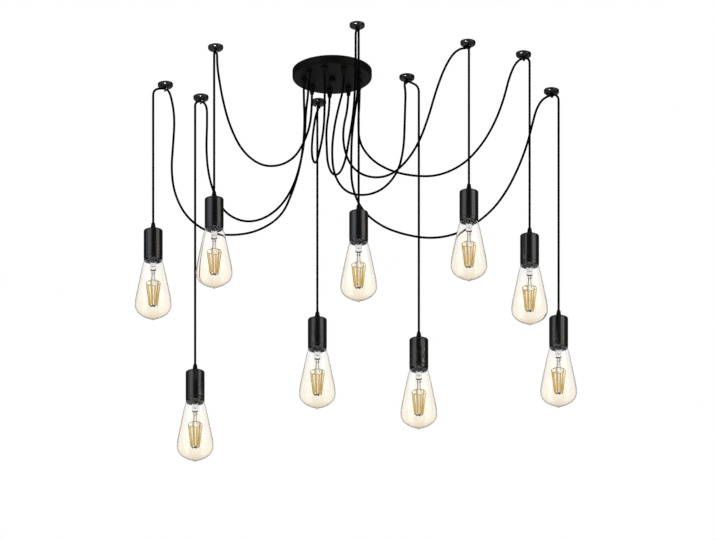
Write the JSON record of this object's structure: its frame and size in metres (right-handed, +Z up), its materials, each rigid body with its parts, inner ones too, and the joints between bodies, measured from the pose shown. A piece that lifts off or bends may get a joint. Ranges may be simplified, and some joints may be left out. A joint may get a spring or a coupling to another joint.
{
  "type": "cluster pendant light",
  "caption": "Cluster pendant light: a round black ceiling canopy with long swagged cords led over ceiling hooks, each ending in a black socket cup with a clear amber pear bulb.",
  "frame": {"origin": "centre of the ceiling canopy, on the ceiling plane, at the middle of the bracket's two slots", "axes": "+Z up into the ceiling, +X along the bracket and the layout's long side, to the right in the picture, +Y away from the viewer"},
  "size_m": [0.8838, 0.4652, 0.8005],
  "materials": {
    "canopy": "satin black enamel",
    "strap": "zinc plated",
    "knob": "black enamel",
    "grips": "black nylon",
    "wiring": "cream insulation",
    "hooks": "gloss black enamel",
    "cord": "black cord sheath",
    "cup": "satin black enamel",
    "holder": "black phenolic, brass contacts",
    "glass": "clear amber glass",
    "core": "nickel and brass cap, glass stem"
  },
  "bodies": {
    "ceiling_set": {"canopy_cover": "canopy", "ceiling_bracket": "strap", "canopy_knob": "knob", "cord_grips": "grips", "canopy_wiring": "wiring", "ceiling_hooks": "hooks", "swag_cord_1": "cord", "swag_cord_2": "cord", "swag_cord_3": "cord", "swag_cord_4": "cord", "swag_cord_5": "cord", "swag_cord_6": "cord", "swag_cord_7": "cord", "swag_cord_8": "cord", "swag_cord_9": "cord"},
    "pendant_1": {"drop_cord_1": "cord", "socket_cup_1": "cup", "lamp_holder_1": "holder"},
    "bulb_1": {"bulb_glass_1": "glass", "bulb_core_1": "core"},
    "pendant_2": {"drop_cord_2": "cord", "socket_cup_2": "cup", "lamp_holder_2": "holder"},
    "bulb_2": {"bulb_glass_2": "glass", "bulb_core_2": "core"},
    "pendant_3": {"drop_cord_3": "cord", "socket_cup_3": "cup", "lamp_holder_3": "holder"},
    "bulb_3": {"bulb_glass_3": "glass", "bulb_core_3": "core"},
    "pendant_4": {"drop_cord_4": "cord", "socket_cup_4": "cup", "lamp_holder_4": "holder"},
    "bulb_4": {"bulb_glass_4": "glass", "bulb_core_4": "core"},
    "pendant_5": {"drop_cord_5": "cord", "socket_cup_5": "cup", "lamp_holder_5": "holder"},
    "bulb_5": {"bulb_glass_5": "glass", "bulb_core_5": "core"},
    "pendant_6": {"drop_cord_6": "cord", "socket_cup_6": "cup", "lamp_holder_6": "holder"},
    "bulb_6": {"bulb_glass_6": "glass", "bulb_core_6": "core"},
    "pendant_7": {"drop_cord_7": "cord", "socket_cup_7": "cup", "lamp_holder_7": "holder"},
    "bulb_7": {"bulb_glass_7": "glass", "bulb_core_7": "core"},
    "pendant_8": {"drop_cord_8": "cord", "socket_cup_8": "cup", "lamp_holder_8": "holder"},
    "bulb_8": {"bulb_glass_8": "glass", "bulb_core_8": "core"},
    "pendant_9": {"drop_cord_9": "cord", "socket_cup_9": "cup", "lamp_holder_9": "holder"},
    "bulb_9": {"bulb_glass_9": "glass", "bulb_core_9": "core"}
  },
  "joints": [
    {"name": "pendant_1_swing", "type": "hinge", "parent": "ceiling_set", "child": "pendant_1", "pos_m": [-0.35792, 0.0493, -0.04046], "axis": [0.866, 0.5, 0], "range_deg": [-10, 10]},
    {"name": "bulb_1_turn", "type": "hinge", "parent": "pendant_1", "child": "bulb_1", "pos_m": [-0.35792, 0.0493, -0.393], "axis": [0, 0, 1], "range_deg": [-1260, 0]},
    {"name": "pendant_2_swing", "type": "hinge", "parent": "ceiling_set", "child": "pendant_2", "pos_m": [-0.27405, 0.12212, -0.02475], "axis": [0.9397, 0.342, 0], "range_deg": [-10, 10]},
    {"name": "bulb_2_turn", "type": "hinge", "parent": "pendant_2", "child": "bulb_2", "pos_m": [-0.27405, 0.12212, -0.67], "axis": [0, 0, 1], "range_deg": [-1260, 0]},
    {"name": "pendant_3_swing", "type": "hinge", "parent": "ceiling_set", "child": "pendant_3", "pos_m": [-0.236, -0.1276, -0.0189], "axis": [0.5, 0.866, 0], "range_deg": [-10, 10]},
    {"name": "bulb_3_turn", "type": "hinge", "parent": "pendant_3", "child": "bulb_3", "pos_m": [-0.236, -0.1276, -0.402], "axis": [0, 0, 1], "range_deg": [-1260, 0]},
    {"name": "pendant_4_swing", "type": "hinge", "parent": "ceiling_set", "child": "pendant_4", "pos_m": [-0.02964, 0.15414, -0.0189], "axis": [0.4226, -0.9063, 0], "range_deg": [-10, 10]},
    {"name": "bulb_4_turn", "type": "hinge", "parent": "pendant_4", "child": "bulb_4", "pos_m": [-0.02964, 0.15414, -0.541], "axis": [0, 0, 1], "range_deg": [-1260, 0]},
    {"name": "pendant_5_swing", "type": "hinge", "parent": "ceiling_set", "child": "pendant_5", "pos_m": [0.053, -0.2381, -0.0189], "axis": [0.5, -0.866, 0], "range_deg": [-10, 10]},
    {"name": "bulb_5_turn", "type": "hinge", "parent": "pendant_5", "child": "bulb_5", "pos_m": [0.053, -0.2381, -0.48], "axis": [0, 0, 1], "range_deg": [-1260, 0]},
    {"name": "pendant_6_swing", "type": "hinge", "parent": "ceiling_set", "child": "pendant_6", "pos_m": [0.17337, 0.03449, -0.03764], "axis": [0.2924, -0.9563, 0], "range_deg": [-10, 10]},
    {"name": "bulb_6_turn", "type": "hinge", "parent": "pendant_6", "child": "bulb_6", "pos_m": [0.17337, 0.03449, -0.638], "axis": [0, 0, 1], "range_deg": [-1260, 0]},
    {"name": "pendant_7_swing", "type": "hinge", "parent": "ceiling_set", "child": "pendant_7", "pos_m": [0.27355, -0.15034, -0.0189], "axis": [0.866, -0.5, 0], "range_deg": [-10, 10]},
    {"name": "bulb_7_turn", "type": "hinge", "parent": "pendant_7", "child": "bulb_7", "pos_m": [0.27355, -0.15034, -0.396], "axis": [0, 0, 1], "range_deg": [-1260, 0]},
    {"name": "pendant_8_swing", "type": "hinge", "parent": "ceiling_set", "child": "pendant_8", "pos_m": [0.39493, -0.09341, -0.02565], "axis": [0.9063, -0.4226, 0], "range_deg": [-10, 10]},
    {"name": "bulb_8_turn", "type": "hinge", "parent": "pendant_8", "child": "bulb_8", "pos_m": [0.39493, -0.09341, -0.467], "axis": [0, 0, 1], "range_deg": [-1260, 0]},
    {"name": "pendant_9_swing", "type": "hinge", "parent": "ceiling_set", "child": "pendant_9", "pos_m": [0.45289, 0.08685, -0.02835], "axis": [0.866, -0.5, 0], "range_deg": [-10, 10]},
    {"name": "bulb_9_turn", "type": "hinge", "parent": "pendant_9", "child": "bulb_9", "pos_m": [0.45289, 0.08685, -0.5675], "axis": [0, 0, 1], "range_deg": [-1260, 0]}
  ]
}
